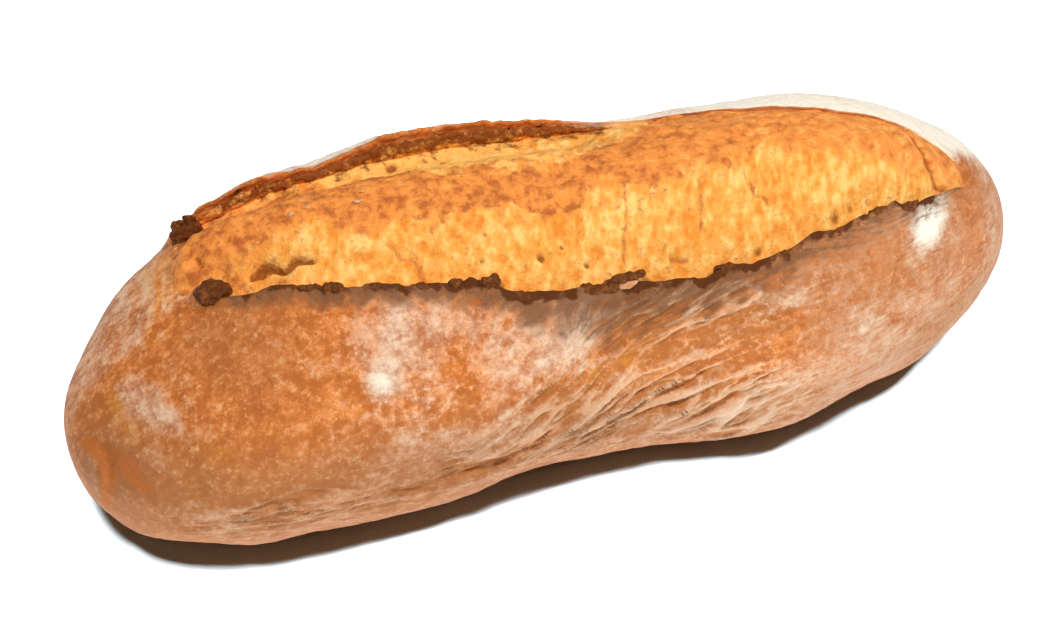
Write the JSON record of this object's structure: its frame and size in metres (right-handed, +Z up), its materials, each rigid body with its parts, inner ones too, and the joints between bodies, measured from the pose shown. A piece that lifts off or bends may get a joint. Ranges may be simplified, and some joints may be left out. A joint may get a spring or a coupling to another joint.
{
  "type": "durum wheat loaf",
  "caption": "Long hearth-baked durum wheat loaf with a torn golden score along its top, burnt crust lips, a lifted ear and a floured crust, resting on its flat underside.",
  "frame": {"origin": "on the board, under the centre of the loaf's bounding box", "axes": "+X along the loaf towards the end where the tear closes, +Y towards the ear side, +Z up"},
  "size_m": [0.32, 0.1376, 0.0962],
  "materials": {
    "crust": "matte baked crust, golden brown with pale flour, and golden crumb in the torn score"
  },
  "bodies": {
    "root": {"loaf": "crust"}
  },
  "joints": []
}
